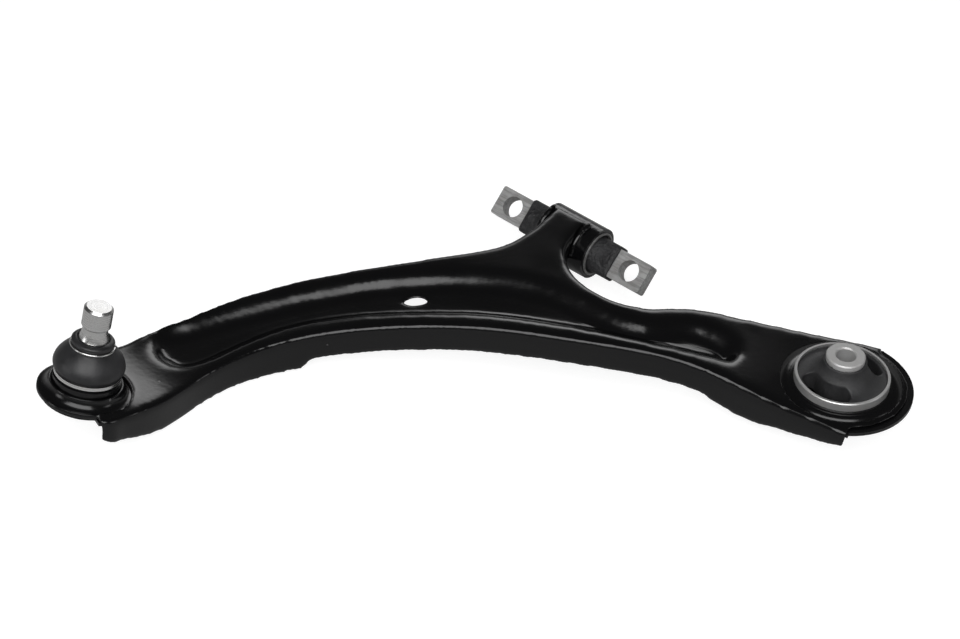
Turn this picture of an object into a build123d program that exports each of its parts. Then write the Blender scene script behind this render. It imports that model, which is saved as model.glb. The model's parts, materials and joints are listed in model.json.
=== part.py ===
from build123d import *
from math import cos, radians, sin
import os

os.makedirs("parts", exist_ok=True)

# Control arm, in millimetres. The origin is the middle of the rear bush bore, +Z runs along
# that bore towards the ball stud's side, and +X runs from the ball joint to the rear bush.

# ---- pressed arm -------------------------------------------------------------------------
sheet = 2.5                  # thickness of both pressings
ball_reach = 465.1           # from the ball joint axis to the rear bush axis
ball_plate_height = 6.3      # top of the upper pressing at the ball joint
ball_tilt = 11.4             # lean of the ball joint axis from +Z
ball_tilt_toward = 37.7      # and the way it leans, from +X towards +Y
valley_height = -4.5         # top of the arm just inboard of the ball joint
crown_height = 19.5          # top of the arm over the front bush
rear_plate_height = 5.4      # top of the upper pressing at the rear bush
valley_radius = 140          # bend from the ball plate into the arm
wall_depth = 21.5            # side wall below the top surface, mid span
web_depth = 18.0             # lower pressing below the top surface, mid span
outer_skirt = -26.5          # lowest edge of the side wall outboard of the step
inner_skirt = -18.0          # and inboard of the rear step
rear_plate_radius = 43.4     # round rear end of the upper pressing
rear_lower_lip = 2.2         # the lower pressing stands out by this much at the rear
ball_plate_radius = 29.0     # round outer end of the upper pressing
ball_lower_step = 2.4        # the lower pressing is smaller by this much at the ball joint
groove_depth = 8.0           # pressed channel along the top
jig_hole = 12.0              # hole through the channel floor
nest_gap = 0.15              # lower pressing to the upper one's walls
rear_collar_depth = 13.0     # burred collar of the lower pressing round the rear bush

# ---- ball joint --------------------------------------------------------------------------
housing_radius = 21.0
collar_height = 6.1          # burred collar round the housing
ball_radius = 13.0
ball_height = -1.5           # ball centre, from the collar's top edge
stud_radius = 9.0
stud_length = 54.5           # ball centre to the stud's end
seat_wall = 2.5
socket_clearance = 0.05
mouth_radius = 11.2          # opening that the stud's neck swings in
neck_radius = 6.2
pinch_radius = 7.9           # groove under the clamped end of the stud
pinch_height = 39.4          # heights from here on are above the collar's top edge
boot_top = 30.0
boot_mouth_radius = 9.8
boot_seat_radius = 18.6
boot_bulge_radius = 22.1
boot_wall = 1.8
ring_wire = 0.7
ring_gap = 0.05
fit_gap = 0.05
seat_foot = -15.6
spring_thickness = 0.6
cap_thickness = 1.2
housing_foot = -17.4

# ---- front bush --------------------------------------------------------------------------
front_bush_reach = 211.3     # from the rear bush axis, along the line the arm swings about
front_tube_radius = 17.5
front_tube_length = 40.0
front_tube_wall = 2.6
front_sleeve_wall = 1.2
sheath_radius = 12.0         # rubber carried along the bar past the tube
sheath_wall = 1.7
bar_radius = 8.5
bar_half_length = 60.8
bar_flat_start = 36.0
bar_width = 20.0
bar_thickness = 10.0
bar_hole = 14.0
bar_hole_reach = 48.0
bar_lean = 45.0              # the flats face up and towards the ball joint

# ---- rear bush ---------------------------------------------------------------------------
rear_sleeve_radius = 30.0
rear_sleeve_length = 24.5
rear_sleeve_wall = 1.8
pivot_sleeve_radius = 12.25
pivot_sleeve_bore = 12.5
pivot_sleeve_length = 54.0
void_half_angle = 36         # two kidney voids through the rubber, across the swing line
void_inner_wall = 4.5
void_outer_wall = 2.2

# ---- shared places -----------------------------------------------------------------------
swing = Vector(cos(radians(-45)), sin(radians(-45)), 0)      # line through both bushes
front_centre = swing * -front_bush_reach
lean = Vector(
    sin(radians(ball_tilt)) * cos(radians(ball_tilt_toward)),
    sin(radians(ball_tilt)) * sin(radians(ball_tilt_toward)),
    cos(radians(ball_tilt)),
)
ball_plate = Plane(origin=(-ball_reach, 0, ball_plate_height), x_dir=(1, 0, -lean.X / lean.Z), z_dir=lean)
collar_plane = ball_plate.offset(collar_height)
tool_depth = 120             # how far the cutting solids run past the arm
side_view = Plane.XZ.offset(-260)            # beyond the arm's back, for outlines carried across it


def under_crown(drop):
    """Everything below the arm's top line, lowered by drop."""
    with BuildPart() as below:
        with BuildSketch(side_view):
            with BuildLine():
                outer = Line((-560, -tool_depth), (-560, valley_height - drop))
                valley = Line(outer @ 1, (-425, valley_height - drop))
                rise = Spline(
                    valley @ 1,
                    (-330, valley_height + 6.0 - drop),
                    (-255, 11.0 - drop),
                    (-160, crown_height - drop),
                    tangents=[(1, 0), (1, 0)],
                )
                fall = Spline(
                    rise @ 1,
                    (-85, 10.8 - drop),
                    (-38, rear_plate_height - drop),
                    tangents=[(1, 0), (1, 0)],
                )
                rear = Line(fall @ 1, (110, rear_plate_height - drop))
                end = Line(rear @ 1, (110, -tool_depth))
                Line(end @ 1, outer @ 0)
            make_face()
        extrude(amount=400)
    return below.part


def under_ball_plate(drop):
    """Everything below the ball joint's tilted plate, lowered by drop."""
    with BuildPart() as below:
        with BuildSketch(Plane(origin=ball_plate.origin - Vector(0, 0, drop), x_dir=ball_plate.x_dir, z_dir=lean)):
            Rectangle(280, 400)
        extrude(amount=-tool_depth)
    return below.part


def top_tool(drop):
    """The arm's top surface as a solid below it, with the bend into the ball plate rounded."""
    with BuildPart() as tool:
        add(under_crown(drop))
        add(under_ball_plate(drop))
        bend = []
        for edge in tool.edges():
            middle = edge.center()
            near_bend = -520 < middle.X < -340 and abs(middle.Z - valley_height + drop) < 6
            if near_bend and edge.length > 150 and abs(middle.Y) < 140 and abs(middle.X + 425) > 1:
                bend.append(edge)
        fillet(bend, valley_radius)
    return tool.part


# ---- outline of the arm from above -------------------------------------------------------
front_line = Vector(-0.596, -0.803, 0)       # outward, square to the front wall at the rear
back_line = Vector(0.333, 0.943, 0)          # outward, square to the back wall at the rear
neck_line = Vector(-0.61, 0.79, 0)           # outward, square to the back wall at the ball joint


def along(normal, distance, run):
    """A point on the line at this distance from the rear bush axis, run along it towards +X."""
    direction = Vector(normal.Y, -normal.X, 0) * (1 if normal.Y > 0 else -1)
    return normal * distance + direction * run


front_rear_end = along(front_line, rear_plate_radius, 70)
front_bend = along(front_line, rear_plate_radius, -45)
back_rear_end = along(back_line, rear_plate_radius, 80)
back_bend = along(back_line, rear_plate_radius, -52)
ball_centre = Vector(-ball_reach, 0, 0)
neck_end = ball_centre + along(neck_line, ball_plate_radius, -30)
neck_start = ball_centre + along(neck_line, ball_plate_radius, 62)
tip_near = front_centre + swing * 9 - Vector(-0.707, -0.707, 0) * 3
tip_far = front_centre - swing * 17 - Vector(-0.707, -0.707, 0) * 3

with BuildSketch() as outline:
    with BuildLine():
        front_straight = Line(front_rear_end, front_bend)
        front = Spline(
            front_straight @ 1,
            (-92, 9.2),
            (-148, 21.4),
            (-222, 42.7),
            (-295, 54.3),
            (-350, 47.0),
            (-396, 19.0),
            (-430.3, -16.6),
            (-445.7, -29.9),
            (-462, -36.0),
            tangents=[front_straight % 1, (-1, -0.25)],
        )
        front_end = Line(front @ 1, (-495, -47))
        outer_end = Line(front_end @ 1, neck_end)
        neck = Line(neck_end, neck_start)
        back = Spline(
            neck @ 1,
            (-393, 86.6),
            (-342, 106.9),
            (-285, 116.0),
            (-226, 119.8),
            (-197, 125.5),
            (-178, 140.5),
            tip_far,
            tangents=[neck % 1, tip_far - Vector(-180, 138, 0)],
        )
        tip = Line(back @ 1, tip_near)
        horn = Spline(
            tip @ 1,
            (-155, 128),
            (-160, 106),
            (-149, 79.0),
            (-119, 62.8),
            (-82, 68.4),
            back_bend,
            tangents=[(-0.5, -0.9), (0.943, -0.333)],
            tangent_scalars=[0.6, 0.5],
        )
        back_straight = Line(horn @ 1, back_rear_end)
        Line(back_straight @ 1, front_straight @ 0)
    make_face()


def below_top(face, drop):
    """The solid inside this outline and under the top surface lowered by drop."""
    with BuildPart() as body:
        add(face.moved(Location((0, 0, -tool_depth))))
        extrude(amount=2 * tool_depth, dir=(0, 0, 1))
        add(top_tool(drop), mode=Mode.INTERSECT)
    return body.part


def moved_outline(sketch, amount):
    """The same outline moved outward by amount, or inward if negative, in plain curves."""
    with BuildSketch() as drawn:
        with BuildLine():
            for side in offset(sketch, amount).wire().edges():
                ends = sorted(side.vertices(), key=lambda corner: (Vector(corner) - side @ 0).length)
                start, end = Vector(ends[0]), Vector(ends[1])
                if side.geom_type == GeomType.LINE:
                    Line(start, end)
                else:
                    steps = max(4, round(side.length / 14))
                    between = [side @ (step / steps) for step in range(1, steps)]
                    Spline(start, *between, end, tangents=[side % 0, side % 1])
        make_face()
    return drawn.sketch


def disc(plane, radius, thickness):
    """A round plate whose top face lies on this plane."""
    with BuildPart() as plate:
        with BuildSketch(plane):
            Circle(radius)
        extrude(amount=-thickness)
    return plate.part


# ---- pressed channel in the upper pressing -----------------------------------------------
with BuildSketch() as groove:
    with BuildLine():
        groove_front = Spline(
            (-66, 18.0),
            (-100, 24.0),
            (-148, 35.0),
            (-222, 57.0),
            (-292, 68.0),
            (-348, 60.0),
            (-388, 38.0),
            (-408, 33.0),
            tangents=[(-1, 0.3), (-1, 0.0)],
        )
        groove_back = Spline(
            (-402, 76.5),
            (-342, 96.5),
            (-280, 105.0),
            (-228, 100.0),
            (-172, 80.0),
            (-146, 60.0),
            (-118, 48.0),
            (-92, 54.0),
            (-66, 46.0),
            tangents=[(1, 0.45), (1, -0.8)],
        )
        groove_outer = ThreePointArc(groove_front @ 1, (-423, 48), groove_back @ 0)
        groove_inner = ThreePointArc(groove_back @ 1, (-59, 30), groove_front @ 0)
    make_face()

groove_outside = moved_outline(groove.sketch, sheet)
with BuildPart() as groove_block:
    add(below_top(groove_outside, 0))
    add(below_top(groove_outside, groove_depth + sheet), mode=Mode.SUBTRACT)

with BuildPart() as groove_pocket:
    add(below_top(groove.sketch, -30))
    add(below_top(groove.sketch, groove_depth), mode=Mode.SUBTRACT)


def profile_prism(points):
    """A closed outline in the XZ plane, carried across the whole arm."""
    with BuildPart() as prism:
        with BuildSketch(side_view):
            with BuildLine():
                Polyline(*points, close=True)
            make_face()
        extrude(amount=400)
    return prism.part


def tube(plane, outer, inner, length, both=False):
    """A plain tube that starts on this plane."""
    with BuildPart() as pipe:
        with BuildSketch(plane):
            Circle(outer)
            Circle(inner, mode=Mode.SUBTRACT)
        extrude(amount=length, both=both)
    return pipe.part


def rod(plane, radius, length, both=False):
    """A plain cylinder that starts on this plane."""
    with BuildPart() as bar:
        with BuildSketch(plane):
            Circle(radius)
        extrude(amount=length, both=both)
    return bar.part


def turned(section, axis, points):
    """A ring or shaft turned from a profile of (radius, height) points."""
    with BuildPart() as ring:
        with BuildSketch(section):
            with BuildLine():
                Polyline(*points, close=True)
            make_face()
        revolve(axis=axis)
    return ring.part


# ---- cuts that both pressings share ------------------------------------------------------
ball_axis = Axis(collar_plane.origin, lean)
ball_section = Plane(origin=collar_plane.origin, x_dir=collar_plane.x_dir, z_dir=-collar_plane.y_dir)
swing_plane = Plane(origin=front_centre, z_dir=swing)
housing_bore = rod(collar_plane, housing_radius, 60, both=True)
bush_bore = rod(Plane.XY, rear_sleeve_radius, 60, both=True)
tube_space = rod(swing_plane, front_tube_radius, 40, both=True)

with BuildPart() as below_walls:
    add(top_tool(wall_depth))
    add(profile_prism([(-326, -tool_depth - 5), (-326, 60), (-82, 60), (-82, -tool_depth - 5)]), mode=Mode.INTERSECT)
    add(
        profile_prism(
            [
                (-560, -tool_depth - 5),
                (-560, 38),
                (-455, -8.0),
                (-436, -17.5),
                (-420, -24.5),
                (-405, outer_skirt - 1),
                (-390, outer_skirt - 0.5),
                (-331, outer_skirt),
                (-325.9, outer_skirt + 4),
                (-325.9, -tool_depth - 5),
            ]
        )
    )
    add(
        profile_prism(
            [
                (-82.1, -tool_depth - 5),
                (-82.1, inner_skirt + 5),
                (-66, inner_skirt),
                (-55, inner_skirt),
                (-12, inner_skirt + 8.5),
                (90, inner_skirt + 27),
                (90, -tool_depth - 5),
            ]
        )
    )

with BuildPart() as beyond_ball_end:
    with BuildSketch(Plane.XY.offset(-tool_depth)):
        with BuildLine():
            Polyline((-456, -60), (-456, -34), (-480, 22), (-480, 80), (-600, 80), (-600, -60), close=True)
        make_face()
    extrude(amount=2 * tool_depth)

with BuildPart() as beyond_rear_end:
    with BuildSketch(Plane.XY.offset(-tool_depth)):
        with BuildLine():
            Polyline((-5, -80), (-5, -49), (34, 32), (34, 80), (140, 80), (140, -80), close=True)
        make_face()
    extrude(amount=2 * tool_depth)

with BuildPart() as ball_end_plate:
    with BuildSketch(ball_section):
        with BuildLine():
            edge = Polyline(
                (0, -collar_height - sheet * lean.Z),
                (ball_plate_radius, -collar_height - sheet * lean.Z),
                (ball_plate_radius, -collar_height),
                (housing_radius + 7.4, -collar_height),
            )
            flare = RadiusArc(edge @ 1, (housing_radius + 1.8, 0), -8.5)
            Polyline(flare @ 1, (0, 0), edge @ 0)
        make_face()
    revolve(axis=ball_axis)
ball_end = ball_end_plate.part

# ---- upper pressing ----------------------------------------------------------------------
with BuildPart() as arm_upper_shell:
    add(below_top(outline.sketch, 0))
    add(below_top(moved_outline(outline.sketch, -sheet), sheet), mode=Mode.SUBTRACT)
    add(groove_block.part)
    add(groove_pocket.part, mode=Mode.SUBTRACT)
    add(below_walls.part, mode=Mode.SUBTRACT)
    add(beyond_ball_end.part, mode=Mode.SUBTRACT)
    add(beyond_rear_end.part, mode=Mode.SUBTRACT)
    add(tube_space, mode=Mode.SUBTRACT)
    add(disc(Plane.XY.offset(rear_plate_height), rear_plate_radius, sheet))
    add(ball_end)
    add(housing_bore, mode=Mode.SUBTRACT)
    add(bush_bore, mode=Mode.SUBTRACT)
    add(rod(Plane((-257.6, 86.5, 0)), jig_hole / 2, 60, both=True), mode=Mode.SUBTRACT)


# ---- lower pressing: nested in the walls, stacked under the upper one at both ends -------
with BuildPart() as well:
    add(profile_prism([(-446, 40), (-440, -4), (-427, -21), (-418, -30), (-88, -30), (-60, -9), (-50, 3.2), (-46, 40)]))
    add(top_tool(web_depth), mode=Mode.SUBTRACT)

with BuildPart() as lower_top:
    add(below_top(moved_outline(outline.sketch, -sheet - nest_gap), sheet))
    add(well.part, mode=Mode.SUBTRACT)

with BuildPart() as rear_lip:
    add(disc(Plane.XY.offset(rear_plate_height - sheet), rear_plate_radius + rear_lower_lip, sheet))
    add(beyond_rear_end.part, mode=Mode.INTERSECT)

with BuildPart() as arm_lower_plate:
    add(lower_top.part)
    add(lower_top.part.moved(Location((0, 0, -sheet))), mode=Mode.SUBTRACT)
    add(beyond_ball_end.part, mode=Mode.SUBTRACT)
    add(beyond_rear_end.part, mode=Mode.SUBTRACT)
    add(tube_space, mode=Mode.SUBTRACT)
    add(disc(Plane.XY.offset(rear_plate_height - sheet), rear_plate_radius - sheet - nest_gap, sheet))
    add(rear_lip.part)
    add(disc(ball_plate.offset(-sheet), ball_plate_radius - ball_lower_step, sheet))
    add(rod(Plane.XY.offset(rear_plate_height - sheet), rear_sleeve_radius + sheet, -rear_collar_depth))
    add(housing_bore, mode=Mode.SUBTRACT)
    add(bush_bore, mode=Mode.SUBTRACT)
    with BuildSketch(Plane.XY.offset(-60)):
        with Locations((-255.5, 92)):
            SlotOverall(36, 22, rotation=85)
    extrude(amount=100, mode=Mode.SUBTRACT)

# ---- front bush --------------------------------------------------------------------------
front_bush_tube = tube(swing_plane, front_tube_radius, front_tube_radius - front_tube_wall, front_tube_length / 2, True)
front_sleeve_radius = front_tube_radius - front_tube_wall
front_bore = front_sleeve_radius - front_sleeve_wall
front_bush_sleeve = tube(swing_plane, front_sleeve_radius, front_bore, front_tube_length / 2 + 1, True)

flat_normal = Vector(-0.7071 * sin(radians(bar_lean)), -0.7071 * sin(radians(bar_lean)), cos(radians(bar_lean)))
bar_plane = Plane(origin=front_centre, x_dir=swing, z_dir=flat_normal)
with BuildPart() as front_bar_pin:
    add(rod(swing_plane, bar_radius, bar_flat_start - 4, both=True))
    with BuildSketch(bar_plane.offset(-bar_thickness / 2)):
        for side in (1, -1):
            with Locations((side * (bar_half_length + bar_flat_start - 8) / 2, 0)):
                RectangleRounded(bar_half_length - bar_flat_start + 8, bar_width, 1.6)
    extrude(amount=bar_thickness)
    with BuildSketch(bar_plane):
        with Locations((bar_hole_reach, 0), (-bar_hole_reach, 0)):
            Circle(bar_hole / 2)
    extrude(amount=bar_thickness, both=True, mode=Mode.SUBTRACT)

with BuildPart() as front_bush_rubber:
    add(rod(swing_plane, front_bore, front_tube_length / 2 - 1, both=True))
    for side in (1, -1):
        start = Plane(origin=front_centre + swing * side * (front_tube_length / 2 - 2), x_dir=flat_normal, z_dir=swing * side)
        with BuildSketch(start):
            Circle(sheath_radius)
        with BuildSketch(start.offset(bar_flat_start - front_tube_length / 2 + 2)):
            RectangleRounded(bar_thickness + 2 * sheath_wall, bar_width + 2 * sheath_wall, 3)
        loft()
    add(front_bar_pin.part, mode=Mode.SUBTRACT)

# ---- welds that hold the tube in the arm ---------------------------------------------------
weld_radius = 2.0
across = Vector(swing.Y, -swing.X, 0)            # level, from the front bush towards the arm


def trimmed(bead):
    """A weld bead without what the tube and both pressings already fill."""
    with BuildPart() as weld:
        add(bead)
        add(tube_space, mode=Mode.SUBTRACT)
        add(arm_upper_shell.part, mode=Mode.SUBTRACT)
        add(arm_lower_plate.part, mode=Mode.SUBTRACT)
    return max(weld.part.solids(), key=lambda solid: solid.volume)


def side_bead(reach):
    """A bead down the tube's side from its crest, this far along the swing line."""
    start = Plane(origin=front_centre + swing * reach, x_dir=Vector(0, 0, 1), z_dir=across)
    with BuildPart() as bead:
        with BuildSketch(start):
            with Locations((front_tube_radius + 0.4, 0)):
                Circle(weld_radius)
        revolve(axis=Axis(front_centre, swing), revolution_arc=78)
    return trimmed(bead.part)


horn_weld_left = side_bead(-17.4)
horn_weld_right = side_bead(11.0)

# ---- rear bush ---------------------------------------------------------------------------
bush_section = Plane.XZ
rear_bore = rear_sleeve_radius - rear_sleeve_wall
with BuildPart() as rear_bush_sleeve:
    add(tube(Plane.XY, rear_sleeve_radius, rear_bore, rear_sleeve_length / 2, True))
    chamfer(rear_bush_sleeve.edges().filter_by(GeomType.CIRCLE).sort_by(SortBy.RADIUS)[-2:], 0.5)

with BuildPart() as rear_inner_sleeve:
    add(tube(Plane.XY, pivot_sleeve_radius, pivot_sleeve_bore / 2, pivot_sleeve_length / 2, True))
    chamfer(rear_inner_sleeve.edges().filter_by(GeomType.CIRCLE), 0.8)

with BuildPart() as rear_bush_rubber:
    rubber_top = pivot_sleeve_length / 2 - 3.5
    rubber_rim = rear_sleeve_length / 2 - 1.5
    with BuildSketch(bush_section):
        with BuildLine():
            top = Line((pivot_sleeve_radius, rubber_top), (pivot_sleeve_radius + 1.5, rubber_top))
            upper = ThreePointArc(top @ 1, (pivot_sleeve_radius + 5.5, rubber_rim + 3.0), (rear_bore, rubber_rim))
            rim = Line(upper @ 1, (rear_bore, -rubber_rim))
            lower = ThreePointArc(
                rim @ 1, (pivot_sleeve_radius + 5.5, -rubber_rim - 3.0), (pivot_sleeve_radius + 1.5, -rubber_top)
            )
            foot = Line(lower @ 1, (pivot_sleeve_radius, -rubber_top))
            Line(foot @ 1, top @ 0)
        make_face()
    revolve(axis=Axis.Z)
    void_middle = (pivot_sleeve_radius + void_inner_wall + rear_bore - void_outer_wall) / 2
    void_width = rear_bore - void_outer_wall - pivot_sleeve_radius - void_inner_wall
    with BuildSketch(Plane.XY.offset(-40)):
        for start_angle in (45 - void_half_angle, 225 - void_half_angle):
            with BuildLine(mode=Mode.PRIVATE) as void_line:
                CenterArc((0, 0), void_middle, start_angle, 2 * void_half_angle)
            SlotArc(void_line.edge(), void_width)
    extrude(amount=80, mode=Mode.SUBTRACT)

# ---- ball joint --------------------------------------------------------------------------
ball_centre_point = collar_plane.origin + lean * ball_height
cavity_radius = ball_radius + seat_wall
neck_step = -collar_height - 2 * sheet           # the housing steps in below both pressings
with BuildPart() as ball_joint_housing:
    add(
        turned(
            ball_section,
            ball_axis,
            [
                (cavity_radius, housing_foot),
                (cavity_radius + 1.8, housing_foot),
                (cavity_radius + 1.8, neck_step),
                (housing_radius, neck_step),
                (housing_radius, 4.0),
                (boot_seat_radius, 5.0),
                (boot_seat_radius, 9.4),
                (boot_seat_radius - 0.6, 10.0),
                (mouth_radius + 2.5, 10.0),
                (mouth_radius, 7.0),
                (cavity_radius, 6.4),
            ],
        )
    )

with BuildPart() as ball_space:
    with BuildSketch(ball_section):
        with Locations((0, ball_height)):
            Circle(ball_radius + socket_clearance)
        with Locations((-50, 0)):
            Rectangle(100, 200, mode=Mode.SUBTRACT)
    revolve(axis=ball_axis)

with BuildPart() as upper_ball_seat:
    add(tube(collar_plane.offset(ball_height + 0.1), cavity_radius, mouth_radius, 6.4 - ball_height - 0.1))
    add(ball_space.part, mode=Mode.SUBTRACT)

with BuildPart() as lower_ball_seat:
    add(tube(collar_plane.offset(ball_height - 0.1), cavity_radius, 3.0, -(ball_height - 0.1 - seat_foot)))
    add(ball_space.part, mode=Mode.SUBTRACT)

seat_spring = tube(collar_plane.offset(seat_foot), cavity_radius - 0.6, 5.0, -spring_thickness)
ball_joint_cap = rod(collar_plane.offset(seat_foot - spring_thickness), cavity_radius, -cap_thickness)

stud_top = ball_height + stud_length
with BuildPart() as ball_stud:
    with BuildSketch(ball_section):
        with BuildLine():
            axis_line = Line((0, 0), (0, stud_top))
            end = Polyline(
                axis_line @ 1,
                (stud_radius - 1.4, stud_top),
                (stud_radius, stud_top - 1.4),
                (stud_radius, pinch_height + 0.8),
                (stud_radius - 0.6, pinch_height),
                (pinch_radius, pinch_height),
            )
            flare = RadiusArc(end @ 1, (boot_mouth_radius, boot_top), -16)
            taper = Line(flare @ 1, (boot_mouth_radius, boot_top - 4.0))
            neck_top = Line(taper @ 1, (neck_radius, boot_top - 12))
            neck_shaft = Line(neck_top @ 1, (neck_radius, 0))
            Line(neck_shaft @ 1, axis_line @ 0)
        make_face()
        with Locations((0, ball_height)):
            Circle(ball_radius)
        with Locations((-50, 0)):
            Rectangle(100, 300, mode=Mode.SUBTRACT)
    revolve(axis=ball_axis)

with BuildPart() as dust_boot:
    with BuildSketch(ball_section):
        with BuildLine():
            inside = Spline(
                (boot_seat_radius + fit_gap, 5.2),
                (boot_bulge_radius - boot_wall, 13.0),
                (16.0, 20.5),
                (boot_mouth_radius + 1.6, 26.0),
                tangents=[(0.0, 1.0), (-0.6, 1.0)],
            )
            lip_inside = Line(inside @ 1, (boot_mouth_radius + fit_gap, boot_top - 3.0))
            lip_bore = Line(lip_inside @ 1, (boot_mouth_radius + fit_gap, boot_top + 1.2))
            lip_top = Line(lip_bore @ 1, (13.2, boot_top - 0.8))
            lip_side = Polyline(lip_top @ 1, (13.2, boot_top - 3.0), (12.6, boot_top - 3.0), (12.6, boot_top - 4.6))
            outside = Spline(
                lip_side @ 1,
                (17.6, 20.5),
                (boot_bulge_radius, 13.0),
                (boot_seat_radius + 1.6, 8.4),
                tangents=[(0.9, -0.9), (-0.5, -1.0)],
            )
            band = Polyline(outside @ 1, (boot_seat_radius + 1.0, 8.0), (boot_seat_radius + 1.0, 5.2))
            Line(band @ 1, inside @ 0)
        make_face()
    revolve(axis=ball_axis)

with BuildPart() as boot_upper_ring:
    with BuildSketch(ball_section):
        with Locations((12.6 + ring_gap + ring_wire, boot_top - 3.8)):
            Circle(ring_wire)
    revolve(axis=ball_axis, revolution_arc=352)

boot_lower_ring = tube(
    collar_plane.offset(5.6), boot_seat_radius + 1.0 + ring_gap + 0.9, boot_seat_radius + 1.0 + ring_gap, 2.2
)

# ---- write every piece -------------------------------------------------------------------
pieces = {
    "arm_upper_shell": arm_upper_shell.part,
    "arm_lower_plate": arm_lower_plate.part,
    "horn_weld_left": horn_weld_left,
    "horn_weld_right": horn_weld_right,
    "front_bush_tube": front_bush_tube,
    "front_bush_sleeve": front_bush_sleeve,
    "front_bush_rubber": front_bush_rubber.part,
    "front_bar_pin": front_bar_pin.part,
    "rear_bush_sleeve": rear_bush_sleeve.part,
    "rear_bush_rubber": rear_bush_rubber.part,
    "rear_inner_sleeve": rear_inner_sleeve.part,
    "ball_joint_housing": ball_joint_housing.part,
    "upper_ball_seat": upper_ball_seat.part,
    "lower_ball_seat": lower_ball_seat.part,
    "seat_spring": seat_spring,
    "ball_joint_cap": ball_joint_cap,
    "ball_stud": ball_stud.part,
    "dust_boot": dust_boot.part,
    "boot_upper_ring": boot_upper_ring.part,
    "boot_lower_ring": boot_lower_ring,
}
for name, piece in pieces.items():
    piece.label = name
    export_step(piece, f"parts/{name}.step")
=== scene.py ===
import json
import math

import bmesh
import bpy
from mathutils import Euler, Matrix, Vector, kdtree


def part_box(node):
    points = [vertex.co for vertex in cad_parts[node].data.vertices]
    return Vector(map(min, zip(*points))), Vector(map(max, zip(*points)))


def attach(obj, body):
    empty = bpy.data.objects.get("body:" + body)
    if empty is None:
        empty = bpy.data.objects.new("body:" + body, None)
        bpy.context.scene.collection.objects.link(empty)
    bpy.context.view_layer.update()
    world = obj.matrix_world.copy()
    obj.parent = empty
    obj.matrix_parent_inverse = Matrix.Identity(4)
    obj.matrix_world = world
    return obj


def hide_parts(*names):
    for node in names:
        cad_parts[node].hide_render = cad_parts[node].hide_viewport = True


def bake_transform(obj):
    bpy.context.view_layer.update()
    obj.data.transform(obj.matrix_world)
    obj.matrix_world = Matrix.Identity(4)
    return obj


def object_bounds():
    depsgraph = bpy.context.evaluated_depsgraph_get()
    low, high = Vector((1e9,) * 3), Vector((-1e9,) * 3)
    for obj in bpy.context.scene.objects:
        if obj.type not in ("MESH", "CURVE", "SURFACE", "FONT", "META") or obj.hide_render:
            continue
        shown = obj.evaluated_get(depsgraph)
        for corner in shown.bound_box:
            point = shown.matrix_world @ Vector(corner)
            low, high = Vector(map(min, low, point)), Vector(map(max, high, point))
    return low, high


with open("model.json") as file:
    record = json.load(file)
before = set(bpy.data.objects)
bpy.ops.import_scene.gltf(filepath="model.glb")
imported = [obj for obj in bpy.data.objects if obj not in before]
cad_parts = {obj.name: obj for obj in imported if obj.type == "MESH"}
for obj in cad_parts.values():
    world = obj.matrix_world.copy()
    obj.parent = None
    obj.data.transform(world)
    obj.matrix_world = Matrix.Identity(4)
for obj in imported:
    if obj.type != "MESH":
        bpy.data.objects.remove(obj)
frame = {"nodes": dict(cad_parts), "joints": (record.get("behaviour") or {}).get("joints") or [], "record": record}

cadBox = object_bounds()
scene = bpy.context.scene
nodes = frame["nodes"]
joints = {joint["name"]: joint for joint in frame["joints"]}
mounts = {mount["name"]: mount for mount in frame["record"]["mounts"]}

# the ball joint and the front bush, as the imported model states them
ballCentre = Vector(joints["stud_tilt"]["pos_m"])
leanAxis = Vector(mounts["stud_pin"]["axis"]).normalized()
swingCentre = Vector(joints["front_bush_twist"]["pos_m"])
swingAxis = Vector(joints["front_bush_twist"]["axis"]).normalized()
upAxis = Vector((0, 0, 1))
origin = Vector((0, 0, 0))
floorHeight = cadBox[0].z
mm = 0.001


# shader helpers

def nodeOf(tree, kind, at=(0, 0), **sockets):
    # One shader node; its sockets are set by name, from a value or from another node's output.
    made = tree.nodes.new(kind)
    made.location = at
    for name, value in sockets.items():
        if isinstance(value, bpy.types.NodeSocket):
            tree.links.new(value, made.inputs[name])
        else:
            made.inputs[name].default_value = value
    return made


def mathOf(tree, operation, first, second=None, third=None):
    # A Math node's result, from sockets or numbers.
    made = tree.nodes.new("ShaderNodeMath")
    made.operation = operation
    for place, value in enumerate((first, second, third)):
        if isinstance(value, bpy.types.NodeSocket):
            tree.links.new(value, made.inputs[place])
        elif value is not None:
            made.inputs[place].default_value = value
    return made.outputs[0]


def vectorMathOf(tree, operation, first, second=None, output=0):
    # A Vector Math node's result, from sockets or vectors.
    made = tree.nodes.new("ShaderNodeVectorMath")
    made.operation = operation
    for place, value in enumerate((first, second)):
        if isinstance(value, bpy.types.NodeSocket):
            tree.links.new(value, made.inputs[place])
        elif value is not None:
            made.inputs[place].default_value = value
    return made.outputs[output]


def rampOf(tree, value, low, high, start=0.0, end=1.0):
    # A smooth step from start to end as value goes from low to high.
    made = tree.nodes.new("ShaderNodeMapRange")
    made.interpolation_type = "SMOOTHSTEP"
    tree.links.new(value, made.inputs["Value"])
    made.inputs["From Min"].default_value = low
    made.inputs["From Max"].default_value = high
    made.inputs["To Min"].default_value = start
    made.inputs["To Max"].default_value = end
    return made.outputs["Result"]


def mixOf(tree, share, first, second):
    # Two colours mixed by a share.
    made = tree.nodes.new("ShaderNodeMix")
    made.data_type = "RGBA"
    places = {"Factor": 0, "A": 6, "B": 7}
    for name, value in (("Factor", share), ("A", first), ("B", second)):
        if isinstance(value, bpy.types.NodeSocket):
            tree.links.new(value, made.inputs[places[name]])
        else:
            made.inputs[places[name]].default_value = value
    return made.outputs[2]


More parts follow.
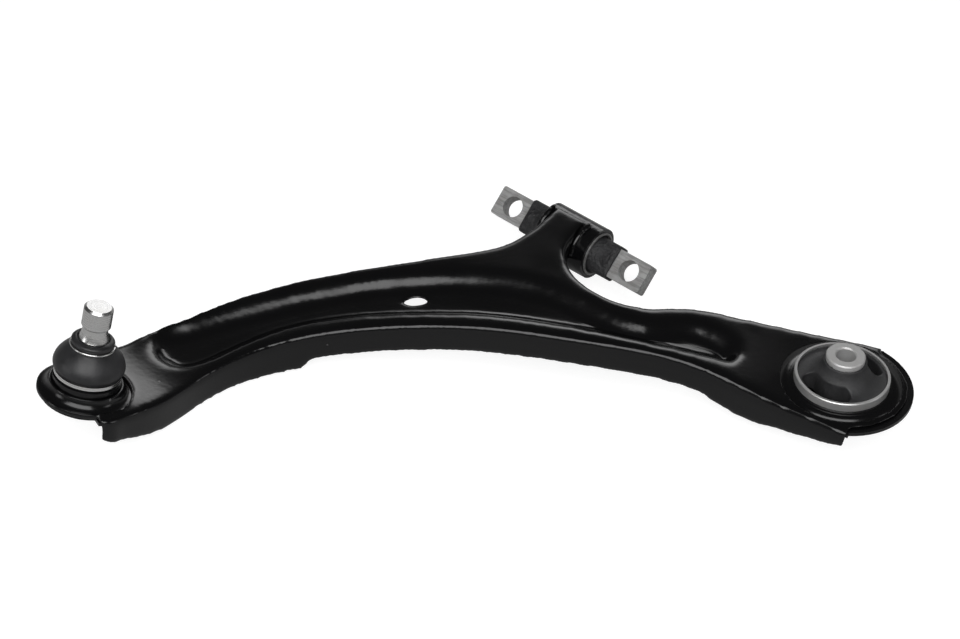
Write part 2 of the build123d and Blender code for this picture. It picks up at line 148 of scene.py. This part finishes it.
def newGroup(name, inputs, outputs):
    # An empty node group with named sockets.
    group = bpy.data.node_groups.new(name, "ShaderNodeTree")
    for socketName, kind, value in inputs:
        socket = group.interface.new_socket(name=socketName, in_out="INPUT", socket_type=kind)
        if value is not None:
            socket.default_value = value
    for socketName, kind in outputs:
        group.interface.new_socket(name=socketName, in_out="OUTPUT", socket_type=kind)
    inside = group.nodes.new("NodeGroupInput")
    outside = group.nodes.new("NodeGroupOutput")
    return group, inside, outside


def grey(level, blue=0.0):
    # A neutral colour, a touch cooler with blue.
    return (level, level, level + blue, 1.0)


# effects that several materials share

def makeSpeckles():
    # Fine scattered dust, as a mask from 0 to 1.
    group, inside, outside = newGroup(
        "dustSpecks",
        [("Size", "NodeSocketFloat", 0.004), ("Amount", "NodeSocketFloat", 0.1)],
        [("Mask", "NodeSocketFloat")],
    )
    place = group.nodes.new("ShaderNodeTexCoord")
    density = mathOf(group, "DIVIDE", 1.0, inside.outputs["Size"])
    cells = nodeOf(group, "ShaderNodeTexVoronoi", Scale=density, Vector=place.outputs["Object"])
    near = rampOf(group, cells.outputs["Distance"], 0.16, 0.05)
    chance = nodeOf(group, "ShaderNodeSeparateColor", Color=cells.outputs["Color"])
    chosen = mathOf(group, "LESS_THAN", chance.outputs["Red"], inside.outputs["Amount"])
    group.links.new(mathOf(group, "MULTIPLY", near, chosen), outside.inputs["Mask"])
    return group


def makePatches():
    # Soft uneven patches, as a mask from 0 to 1.
    group, inside, outside = newGroup(
        "softPatches",
        [("Size", "NodeSocketFloat", 0.03), ("Detail", "NodeSocketFloat", 4.0)],
        [("Mask", "NodeSocketFloat")],
    )
    place = group.nodes.new("ShaderNodeTexCoord")
    density = mathOf(group, "DIVIDE", 1.0, inside.outputs["Size"])
    noise = nodeOf(
        group, "ShaderNodeTexNoise",
        Scale=density, Detail=inside.outputs["Detail"], Vector=place.outputs["Object"],
    )
    group.links.new(rampOf(group, noise.outputs["Fac"], 0.32, 0.68), outside.inputs["Mask"])
    return group


def makeTurnedLines():
    # Lathe marks about an axis: fine rings along it on sides, and round it on end faces.
    group, inside, outside = newGroup(
        "turnedLines",
        [
            ("Centre", "NodeSocketVector", (0, 0, 0)),
            ("Axis", "NodeSocketVector", (0, 0, 1)),
            ("Pitch", "NodeSocketFloat", 0.0005),
        ],
        [("Lines", "NodeSocketFloat"), ("Height", "NodeSocketFloat"), ("Radius", "NodeSocketFloat")],
    )
    place = group.nodes.new("ShaderNodeTexCoord")
    away = vectorMathOf(group, "SUBTRACT", place.outputs["Object"], inside.outputs["Centre"])
    height = vectorMathOf(group, "DOT_PRODUCT", away, inside.outputs["Axis"], 1)
    along = nodeOf(group, "ShaderNodeVectorMath")
    along.operation = "SCALE"
    group.links.new(inside.outputs["Axis"], along.inputs[0])
    group.links.new(height, along.inputs["Scale"])
    outward = vectorMathOf(group, "SUBTRACT", away, along.outputs[0])
    radius = vectorMathOf(group, "LENGTH", outward, None, 1)
    ringPlace = nodeOf(group, "ShaderNodeCombineXYZ", X=height, Y=radius)
    density = mathOf(group, "DIVIDE", 1.0, inside.outputs["Pitch"])
    noise = nodeOf(group, "ShaderNodeTexNoise", Scale=density, Detail=3.0, Vector=ringPlace.outputs[0])
    group.links.new(noise.outputs["Fac"], outside.inputs["Lines"])
    group.links.new(height, outside.inputs["Height"])
    group.links.new(radius, outside.inputs["Radius"])
    return group


def makeScratches():
    # Short straight scratches along one direction, as a mask from 0 to 1.
    group, inside, outside = newGroup(
        "fineScratches",
        [("Along", "NodeSocketVector", (1, 0, 0)), ("Size", "NodeSocketFloat", 0.002)],
        [("Mask", "NodeSocketFloat")],
    )
    place = group.nodes.new("ShaderNodeTexCoord")
    run = vectorMathOf(group, "DOT_PRODUCT", place.outputs["Object"], inside.outputs["Along"], 1)
    pulled = nodeOf(group, "ShaderNodeVectorMath")
    pulled.operation = "SCALE"
    group.links.new(inside.outputs["Along"], pulled.inputs[0])
    group.links.new(mathOf(group, "MULTIPLY", run, 0.93), pulled.inputs["Scale"])
    squeezed = vectorMathOf(group, "SUBTRACT", place.outputs["Object"], pulled.outputs[0])
    density = mathOf(group, "DIVIDE", 1.0, inside.outputs["Size"])
    noise = nodeOf(group, "ShaderNodeTexNoise", Scale=density, Detail=5.0, Roughness=0.65, Vector=squeezed)
    group.links.new(rampOf(group, noise.outputs["Fac"], 0.4, 0.64), outside.inputs["Mask"])
    return group


speckles = makeSpeckles()
patches = makePatches()
turnedLines = makeTurnedLines()
scratches = makeScratches()


def useGroup(tree, group, **sockets):
    # Places a node group and sets its sockets.
    made = tree.nodes.new("ShaderNodeGroup")
    made.node_tree = group
    for name, value in sockets.items():
        made.inputs[name].default_value = value
    return made.outputs


def newMaterial(name):
    # A material with a Principled shader ready to set.
    material = bpy.data.materials.new(name)
    material.use_nodes = True
    tree = material.node_tree
    return material, tree, tree.nodes["Principled BSDF"]


def bumpOf(tree, shader, height, distance, strength=1.0):
    # Gives the shader a bump from a height socket, distance in metres.
    bump = nodeOf(tree, "ShaderNodeBump", Strength=strength, Distance=distance, Height=height)
    tree.links.new(bump.outputs["Normal"], shader.inputs["Normal"])


# materials

def makeBlackPaint(name, ripple, dustAmount):
    # Gloss black dip paint over a pressing: faint orange peel, dust and dull patches.
    material, tree, shader = newMaterial(name)
    dust = useGroup(tree, speckles, Size=0.0075, Amount=dustAmount)["Mask"]
    dull = useGroup(tree, patches, Size=0.05, Detail=5.0)["Mask"]
    colour = mixOf(tree, dust, grey(0.0032, 0.0003), grey(0.10))
    tree.links.new(colour, shader.inputs["Base Color"])
    tree.links.new(rampOf(tree, dull, 0.0, 1.0, 0.13, 0.19), shader.inputs["Roughness"])
    peel = useGroup(tree, patches, Size=0.0035, Detail=2.0)["Mask"]
    bumpOf(tree, shader, peel, ripple)
    shader.inputs["Specular IOR Level"].default_value = 0.42
    return material


def makeTurnedSteel(name, centre, axis, pitch, level, roughness, metallic=1.0):
    # Bright turned steel, with lathe marks round its axis.
    material, tree, shader = newMaterial(name)
    marks = useGroup(tree, turnedLines, Centre=centre, Axis=axis, Pitch=pitch)
    stain = useGroup(tree, patches, Size=0.008, Detail=4.0)["Mask"]
    base = mixOf(tree, marks["Lines"], grey(level * 0.72), grey(level))
    stained = (level * 0.8, level * 0.77, level * 0.72, 1)
    colour = mixOf(tree, mathOf(tree, "MULTIPLY", stain, 0.25), base, stained)
    tree.links.new(colour, shader.inputs["Base Color"])
    shader.inputs["Metallic"].default_value = metallic
    uneven = rampOf(tree, marks["Lines"], 0.3, 0.7, roughness, roughness + 0.12)
    tree.links.new(uneven, shader.inputs["Roughness"])
    bumpOf(tree, shader, marks["Lines"], 0.00004)
    return material


def makeRolledSteel(name, along, level, roughness):
    # Drawn or rolled steel, with scratches along it and a few dull stains.
    material, tree, shader = newMaterial(name)
    lines = useGroup(tree, scratches, Along=along, Size=0.0016)["Mask"]
    stain = useGroup(tree, patches, Size=0.006, Detail=6.0)["Mask"]
    base = mixOf(tree, lines, grey(level), grey(level * 0.6))
    stained = (level * 0.5, level * 0.48, level * 0.45, 1)
    colour = mixOf(tree, mathOf(tree, "MULTIPLY", stain, 0.45), base, stained)
    tree.links.new(colour, shader.inputs["Base Color"])
    shader.inputs["Metallic"].default_value = 0.4
    tree.links.new(rampOf(tree, lines, 0.0, 1.0, roughness, roughness + 0.16), shader.inputs["Roughness"])
    bumpOf(tree, shader, lines, 0.00008)
    return material


def makeRubber(name, level, roughness, grain, depth):
    # Moulded rubber: a fine grain, with dusty pale patches.
    material, tree, shader = newMaterial(name)
    dusty = useGroup(tree, patches, Size=0.012, Detail=6.0)["Mask"]
    fine = useGroup(tree, patches, Size=grain, Detail=5.0)["Mask"]
    colour = mixOf(tree, mathOf(tree, "MULTIPLY", dusty, 0.5), grey(level, 0.001), grey(level * 2.0, 0.002))
    tree.links.new(colour, shader.inputs["Base Color"])
    tree.links.new(rampOf(tree, dusty, 0.0, 1.0, roughness, roughness + 0.12), shader.inputs["Roughness"])
    bumpOf(tree, shader, fine, depth)
    return material


blackPaint = makeBlackPaint("blackPaint", 0.000015, 0.012)
tubePaint = makeBlackPaint("tubePaint", 0.00008, 0.03)
weldPaint = makeBlackPaint("weldPaint", 0.0003, 0.03)
housingPaint = makeBlackPaint("housingPaint", 0.00003, 0.03)
studSteel = makeTurnedSteel("studSteel", ballCentre, leanAxis, 0.0006, 0.78, 0.2)
bandSteel = makeTurnedSteel("bandSteel", ballCentre, leanAxis, 0.001, 0.85, 0.18)
rimSteel = makeTurnedSteel("rimSteel", origin, upAxis, 0.0004, 0.62, 0.3, 0.7)
sleeveSteel = makeTurnedSteel("sleeveSteel", origin, upAxis, 0.0005, 0.55, 0.36, 0.35)
barSteel = makeRolledSteel("barSteel", swingAxis, 0.42, 0.42)
tubeSleeveSteel = makeRolledSteel("tubeSleeveSteel", swingAxis, 0.25, 0.4)
bootRubber = makeRubber("bootRubber", 0.012, 0.36, 0.0012, 0.00003)
bushRubber = makeRubber("bushRubber", 0.022, 0.46, 0.0018, 0.00006)
frontRubber = makeRubber("frontRubber", 0.012, 0.5, 0.0022, 0.0004)
seatPlastic = makeRubber("seatPlastic", 0.5, 0.5, 0.002, 0.00002)


def paint(node, material):
    # Gives a CAD node this material as its only one.
    data = nodes[node].data
    data.materials.clear()
    data.materials.append(material)


carriedOver = {
    "arm_lower_plate": blackPaint,
    "horn_weld_left": weldPaint,
    "horn_weld_right": weldPaint,
    "front_bush_tube": tubePaint,
    "front_bush_sleeve": tubeSleeveSteel,
    "front_bar_pin": barSteel,
    "rear_bush_sleeve": rimSteel,
    "rear_inner_sleeve": sleeveSteel,
    "ball_joint_housing": housingPaint,
    "upper_ball_seat": seatPlastic,
    "lower_ball_seat": seatPlastic,
    "seat_spring": sleeveSteel,
    "ball_joint_cap": sleeveSteel,
    "ball_stud": studSteel,
    "boot_upper_ring": bandSteel,
    "boot_lower_ring": bandSteel,
}
for nodeName, material in carriedOver.items():
    paint(nodeName, material)
print("materials are on the CAD pieces")


# piece helpers

def addPiece(name, mesh, material):
    # A finished mesh as an object at the origin, with its material.
    piece = bpy.data.objects.new(name, mesh)
    scene.collection.objects.link(piece)
    mesh.materials.clear()
    mesh.materials.append(material)
    return piece


def spunMesh(name, profile, centre, axis, steps=128, closed=True, angle=math.tau, start=None):
    # A turned mesh from (radius, height) points, in metres, about an axis through centre.
    axis = axis.normalized()
    side = start or axis.orthogonal().normalized()
    work = bmesh.new()
    points = [work.verts.new(centre + side * radius + axis * height) for radius, height in profile]
    edges = [work.edges.new(pair) for pair in zip(points, points[1:])]
    if closed:
        edges.append(work.edges.new((points[-1], points[0])))
    bmesh.ops.spin(
        work, geom=points + edges, cent=centre, axis=axis, angle=angle, steps=steps,
        use_merge=abs(angle - math.tau) < 1e-6,
    )
    bmesh.ops.remove_doubles(work, verts=work.verts, dist=1e-6)
    bmesh.ops.recalc_face_normals(work, faces=work.faces)
    for face in work.faces:
        face.smooth = True
    mesh = bpy.data.meshes.new(name)
    work.to_mesh(mesh)
    work.free()
    return mesh


def settled(piece):
    # The piece's mesh with its modifiers made real, and the modifiers gone.
    bpy.context.view_layer.update()
    made = bpy.data.meshes.new_from_object(piece.evaluated_get(bpy.context.evaluated_depsgraph_get()))
    piece.modifiers.clear()
    piece.data = made
    return piece


def remeshedCopy(node, name, voxel, core=None):
    # A copy of a CAD node's shape as one even closed mesh, with a round core filled in if one is given.
    work = bmesh.new()
    work.from_mesh(nodes[node].data)
    if core:
        turned = core["axis"].to_track_quat("Z", "Y").to_matrix().to_4x4()
        bmesh.ops.create_cone(
            work, cap_ends=True, segments=64,
            radius1=core["radius"], radius2=core["radius"], depth=core["length"],
            matrix=Matrix.Translation(core["centre"]) @ turned,
        )
    bmesh.ops.remove_doubles(work, verts=work.verts, dist=1e-6)
    mesh = bpy.data.meshes.new(name)
    work.to_mesh(mesh)
    work.free()
    # voxels lie askew of the object's flats, so that no flat is stepped
    askew = Euler((0.61, 0.47, 0.83)).to_matrix().to_4x4()
    mesh.transform(askew)
    piece = bpy.data.objects.new(name, mesh)
    scene.collection.objects.link(piece)
    remesh = piece.modifiers.new("even", "REMESH")
    remesh.mode = "VOXEL"
    remesh.voxel_size = voxel
    remesh.use_smooth_shade = True
    settled(piece)
    piece.data.transform(askew.inverted())
    return piece


def softenEdges(piece, weights, rounds, factor=0.5):
    # Rounds the folds of a pressing, more where the weight is high.
    group = piece.vertex_groups.new(name="folds")
    for level in range(1, 11):
        chosen = [index for index, weight in enumerate(weights) if round(weight * 10) == level]
        if chosen:
            group.add(chosen, level / 10, "REPLACE")
    smooth = piece.modifiers.new("folds", "SMOOTH")
    smooth.vertex_group = "folds"
    smooth.factor = factor
    smooth.iterations = rounds
    settled(piece)
    piece.vertex_groups.clear()


def curveThrough(points, count):
    # Points spread along a smooth open curve through the given ones.
    spline = []
    padded = [points[0], *points, points[-1]]
    for index in range(1, len(padded) - 2):
        a, b, c, d = (Vector(point) for point in padded[index - 1:index + 3])
        for step in range(count):
            t = step / count
            spline.append(tuple(0.5 * (
                2 * b + (c - a) * t + (2 * a - 5 * b + 4 * c - d) * t * t + (3 * b - a - 3 * c + d) * t ** 3
            )))
    return spline + [tuple(points[-1])]


def stepUp(value, low, high):
    # 0 below low, 1 above high, and smooth between.
    share = min(1.0, max(0.0, (value - low) / (high - low)))
    return share * share * (3 - 2 * share)


def cutAway(piece, mesh):
    # Removes a closed mesh's space from the piece.
    tool = bpy.data.objects.new("tool", mesh)
    scene.collection.objects.link(tool)
    cut = piece.modifiers.new("cut", "BOOLEAN")
    cut.object = tool
    cut.operation = "DIFFERENCE"
    cut.solver = "EXACT"
    settled(piece)
    bpy.data.objects.remove(tool)


def discMesh(name, radius, low, high, centre, axis):
    # A closed plain cylinder, used only to cut.
    return spunMesh(name, [(0, low), (radius, low), (radius, high), (0, high)], centre, axis, closed=False)


# upper pressing, with rounded folds

pressing = {
    "sheet": 0.0025,
    "voxel": 0.0015,
    "foldRounds": 60,
    "rearRingRadius": 0.038,
    "rearBore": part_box("rear_bush_sleeve")[1].x,
    "plateTop": 0.0054,
    "ballPlateRadius": 0.029,
    "housingRadius": 0.021,
    "seamAboveBall": 0.0015,
}
armUpper = remeshedCopy("arm_upper_shell", "armUpper", pressing["voxel"])

# the channel along the top: its rim from the ball joint's end round to the same place
channel = {
    "front": [(-66, 18), (-100, 24), (-148, 35), (-222, 57), (-292, 68), (-348, 60), (-388, 38), (-408, 33)],
    "back": [(-402, 76.5), (-342, 96.5), (-280, 105), (-228, 100), (-172, 80), (-146, 60), (-118, 48), (-92, 54),
             (-66, 46)],
    "ballEnd": (-423, 48),
    "rearEnd": (-59, 30),
    "depth": 8 * mm,
    "run": 7.5 * mm,
    "reach": 24 * mm,
}
rim = channel["front"] + [channel["ballEnd"]] + channel["back"] + [channel["rearEnd"], channel["front"][0]]
rimPoints = [Vector((x * mm, y * mm, 0)) for x, y in curveThrough(rim, 14)]


def highestNear(mesh, cell):
    # The greatest height in each square of the plan.
    heights = {}
    for vertex in mesh.vertices:
        square = (round(vertex.co.x / cell), round(vertex.co.y / cell))
        heights[square] = max(heights.get(square, -1.0), vertex.co.z)
    return heights


def slopeChannel(mesh):
    # Leans the channel's sides inward, from the rim down to the floor.
    cell = 5 * mm
    heights = highestNear(mesh, cell)
    tree = kdtree.KDTree(len(rimPoints))
    for index, point in enumerate(rimPoints):
        tree.insert(point, index)
    tree.balance()
    inward, tops = [], []
    for index, point in enumerate(rimPoints):
        along = (rimPoints[(index + 1) % len(rimPoints)] - rimPoints[index - 1]).normalized()
        inward.append(Vector((along.y, -along.x, 0)))
        column, row = round(point.x / cell), round(point.y / cell)
        near = [(column + i, row + j) for i in (-1, 0, 1) for j in (-1, 0, 1)]
        tops.append(max(heights.get(square, -1.0) for square in near))
    for vertex in mesh.vertices:
        flat = Vector((vertex.co.x, vertex.co.y, 0))
        point, index, distance = tree.find(flat)
        if distance > channel["reach"]:
            continue
        signed = (flat - point).dot(inward[index])
        side = 1 if signed > 0 else -1
        depth = min(1.0, max(0.0, (tops[index] - vertex.co.z - 0.6 * mm) / channel["depth"]))
        fade = 1 - distance / channel["reach"] if side > 0 else stepUp(signed, -8 * mm, -3 * mm)
        vertex.co += inward[index] * channel["run"] * depth * fade


slopeChannel(armUpper.data)

# folds near the top are rounded most; the flats round the ball joint and the rear bush least
leastFold = 0.6
cell = 0.012
highest = highestNear(armUpper.data, cell)
foldWeights = []
for vertex in armUpper.data.vertices:
    column, row = round(vertex.co.x / cell), round(vertex.co.y / cell)
    top = max(
        highest.get((column + acrossCell, row + alongCell), -1.0)
        for acrossCell in (-1, 0, 1)
        for alongCell in (-1, 0, 1)
    )
    away = vertex.co - ballCentre
    fromBall = (away - leanAxis * away.dot(leanAxis)).length
    fromBush = vertex.co.xy.length
    weight = stepUp(vertex.co.z, top - 0.019, top - 0.014)
    weight *= stepUp(fromBall, 0.030, 0.036) * stepUp(fromBush, 0.037, 0.042)
    foldWeights.append(max(weight, leastFold))
softenEdges(armUpper, foldWeights, pressing["foldRounds"])
seamCentre = ballCentre + leanAxis * pressing["seamAboveBall"]
ballCut = pressing["ballPlateRadius"] - 0.0002
cutHalf = 0.02
cutAway(armUpper, discMesh("ballCut", ballCut, -cutHalf, cutHalf, seamCentre, leanAxis))
cutAway(armUpper, discMesh("bushCut", pressing["rearRingRadius"], -cutHalf, cutHalf, origin, upAxis))
for face in armUpper.data.polygons:
    face.use_smooth = True
armUpper.data.materials.clear()
armUpper.data.materials.append(blackPaint)
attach(armUpper, "arm")
print("upper pressing", len(armUpper.data.polygons))

# the turned collar round the ball joint's housing, with its raised lip
collarProfile = [
    (pressing["housingRadius"], -0.0084),
    (pressing["ballPlateRadius"] - 0.0003, -0.0084),
    (pressing["ballPlateRadius"], -0.0081),
    (pressing["ballPlateRadius"], -0.0065),
    (pressing["ballPlateRadius"] - 0.0004, -0.0061),
]
flareRadius = 0.0062
for step in range(13):
    turn = math.radians(90 * step / 12)
    across = 0.0228 + flareRadius * (1 - math.sin(turn))
    along = -0.0061 + flareRadius * (1 - math.cos(turn))
    collarProfile.append((across, along))
collarProfile += [(0.0226, 0.0003), (0.0222, 0.0004), (pressing["housingRadius"], 0.0002)]
ballCollar = addPiece(
    "ballCollar", spunMesh("ballCollar", collarProfile, seamCentre, leanAxis, 160),
    blackPaint,
)
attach(ballCollar, "arm")
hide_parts("arm_upper_shell")

# the flat round the rear bush, and its round end
top = pressing["plateTop"]
ringProfile = [
    (pressing["rearBore"] + 0.0001, top - pressing["sheet"]),
    (pressing["rearRingRadius"], top - pressing["sheet"]),
    (pressing["rearRingRadius"], top),
    (pressing["rearBore"] + 0.0022, top),
    (pressing["rearBore"] + 0.0012, top + 0.0004),
    (pressing["rearBore"] + 0.0001, top + 0.0013),
]
rearRing = addPiece(
    "rearRing", spunMesh("rearRing", ringProfile, origin, upAxis, 160), blackPaint
)
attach(rearRing, "arm")


# dust boot

boot = {
    "outside": [(12.7, 25.6), (14.4, 24.3), (17.6, 21.2), (20.6, 17.2), (22.0, 13.2), (21.6, 10.2), (20.3, 8.4)],
    "band": [(19.66, 8.0), (19.66, 5.3)],
    "inside": [(18.7, 5.3), (18.9, 9.0), (20.2, 13.0), (18.8, 17.0), (15.8, 20.8), (12.2, 24.6), (10.0, 27.0)],
    "lip": [(9.95, 31.0), (10.3, 31.35), (12.9, 29.6), (13.2, 29.2), (13.2, 27.2), (12.65, 26.9)],
}
bootProfile = curveThrough(boot["outside"], 6) + boot["band"] + curveThrough(boot["inside"], 5) + boot["lip"]
bootMesh = spunMesh("dustBoot", [(r * mm, h * mm) for r, h in bootProfile], seamCentre, leanAxis, 128)
dustBoot = addPiece("dustBoot", bootMesh, bootRubber)
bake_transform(dustBoot)
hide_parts("dust_boot")


# rear bush rubber: an upper and a lower half

def halfOf(piece, centre, normal):
    # Cuts a mesh at a plane and keeps the side that its normal points to.
    work = bmesh.new()
    work.from_mesh(piece.data)
    found = bmesh.ops.bisect_plane(
        work, geom=work.verts[:] + work.edges[:] + work.faces[:],
        plane_co=centre, plane_no=normal, clear_inner=True,
    )
    rim = [item for item in found["geom_cut"] if isinstance(item, bmesh.types.BMEdge)]
    bmesh.ops.holes_fill(work, edges=rim)
    work.to_mesh(piece.data)
    work.free()


for name, direction in (("rearRubberUpper", 1), ("rearRubberLower", -1)):
    rubber = remeshedCopy("rear_bush_rubber", name, 0.0007)
    halfOf(rubber, origin, upAxis * direction)
    for face in rubber.data.polygons:
        face.use_smooth = True
    rubber.data.materials.clear()
    rubber.data.materials.append(bushRubber)
    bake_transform(rubber)
    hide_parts("rear_bush_rubber")

# front bush rubber: one sheath each side
barCore = {"centre": swingCentre, "axis": swingAxis, "radius": 9.3 * mm, "length": 66 * mm}
for name, direction in (("frontRubberInner", 1), ("frontRubberOuter", -1)):
    rubber = remeshedCopy("front_bush_rubber", name, 0.0007, barCore)
    halfOf(rubber, swingCentre, swingAxis * direction)
    for face in rubber.data.polygons:
        face.use_smooth = True
    rubber.data.materials.clear()
    rubber.data.materials.append(frontRubber)
    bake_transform(rubber)
    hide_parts("front_bush_rubber")
print("soft pieces are made")


# stage: pale floor, panels and camera

def makeFloor():
    # A pale floor that stays even, with only a soft shadow.
    work = bmesh.new()
    bmesh.ops.create_grid(work, x_segments=1, y_segments=1, size=14)
    bmesh.ops.translate(work, verts=work.verts, vec=(0, 0, floorHeight - 0.0002))
    mesh = bpy.data.meshes.new("floor")
    work.to_mesh(mesh)
    work.free()
    floor = bpy.data.objects.new("floor", mesh)
    scene.collection.objects.link(floor)
    material, tree, shader = newMaterial("paleFloor")
    shader.inputs["Base Color"].default_value = grey(0.3)
    shader.inputs["Roughness"].default_value = 1.0
    shader.inputs["Specular IOR Level"].default_value = 0.0
    shader.inputs["Emission Color"].default_value = grey(1.0)
    paths = tree.nodes.new("ShaderNodeLightPath")
    glow = rampOf(tree, paths.outputs["Is Camera Ray"], 0.0, 1.0, 0.16, 0.88)
    tree.links.new(glow, shader.inputs["Emission Strength"])
    mesh.materials.append(material)


def makePanel(name, direction, distance, width, height, strength, soft=0.35):
    # A glowing panel facing the object, seen only in reflections and as light.
    toward = Vector(direction).normalized()
    middle = Vector((-0.25, 0.03, 0.0))
    rotation = toward.to_track_quat("Z", "Y").to_matrix()
    work = bmesh.new()
    bmesh.ops.create_grid(work, x_segments=1, y_segments=1, size=0.5)
    bmesh.ops.scale(work, vec=(width, height, 1), verts=work.verts)
    mesh = bpy.data.meshes.new(name)
    work.to_mesh(mesh)
    work.free()
    panel = bpy.data.objects.new(name, mesh)
    scene.collection.objects.link(panel)
    panel.matrix_world = Matrix.Translation(middle + toward * distance) @ rotation.to_4x4()
    material, tree, shader = newMaterial(name + "Glow")
    tree.nodes.remove(shader)
    place = tree.nodes.new("ShaderNodeTexCoord")
    sides = nodeOf(tree, "ShaderNodeSeparateXYZ", Vector=place.outputs["Object"])
    lit = 0.5 - soft * 0.5
    offX = mathOf(tree, "ABSOLUTE", sides.outputs["X"])
    offY = mathOf(tree, "ABSOLUTE", sides.outputs["Y"])
    across = rampOf(tree, offX, width * lit, width * 0.5, 1, 0)
    tall = rampOf(tree, offY, height * lit, height * 0.5, 1, 0)
    level = mathOf(tree, "MULTIPLY", mathOf(tree, "MULTIPLY", across, tall), strength)
    glow = nodeOf(tree, "ShaderNodeEmission", Strength=level)
    tree.links.new(glow.outputs[0], tree.nodes["Material Output"].inputs["Surface"])
    mesh.materials.append(material)
    panel.visible_camera = False
    panel.visible_shadow = False


def makeWorld():
    # White where the camera sees past the floor; low walls glow softly and the rest is dark.
    world = bpy.data.worlds.new("studio")
    scene.world = world
    world.use_nodes = True
    tree = world.node_tree
    background = tree.nodes["Background"]
    place = tree.nodes.new("ShaderNodeTexCoord")
    sides = nodeOf(tree, "ShaderNodeSeparateXYZ", Vector=place.outputs["Generated"])
    low = rampOf(tree, sides.outputs["Z"], 0.04, 0.34, 0.30, 0.055)
    paths = tree.nodes.new("ShaderNodeLightPath")
    colour = mixOf(tree, paths.outputs["Is Camera Ray"], low, grey(1.0))
    tree.links.new(colour, background.inputs["Color"])
    background.inputs["Strength"].default_value = 1.0


makeFloor()
makeWorld()
makePanel("farPanel", (0.25, 0.90, 0.355), 2.2, 1.7, 0.9, 2.6, 0.6)
makePanel("keyPanel", (-0.12, -0.62, 0.77), 2.6, 3.2, 2.2, 4.4, 0.3)
makePanel("leftPanel", (-0.95, -0.25, 0.30), 2.4, 0.9, 1.2, 3.0, 0.5)
makePanel("rightPanel", (0.93, -0.30, 0.36), 2.4, 0.8, 1.0, 2.0, 0.5)

camera = bpy.data.cameras.new("camera")
camera.lens = 120
camera.sensor_width = 36
camera.clip_start = 0.05
camera.clip_end = 60
cameraObject = bpy.data.objects.new("camera", camera)
scene.collection.objects.link(cameraObject)
cameraRight = Vector((0.99285695, -0.09701204, 0.06945311)).normalized()
cameraUp = Vector((0.00831304, 0.63695313, 0.7708577)).normalized()
cameraBack = cameraRight.cross(cameraUp).normalized()
turn = Matrix((cameraRight, cameraUp, cameraBack)).transposed()
cameraObject.matrix_world = Matrix.Translation((-0.4577, -1.4697, 1.2744)) @ turn.to_4x4()
scene.camera = cameraObject
scene.view_settings.view_transform = "Standard"
print("stage and camera are ready")
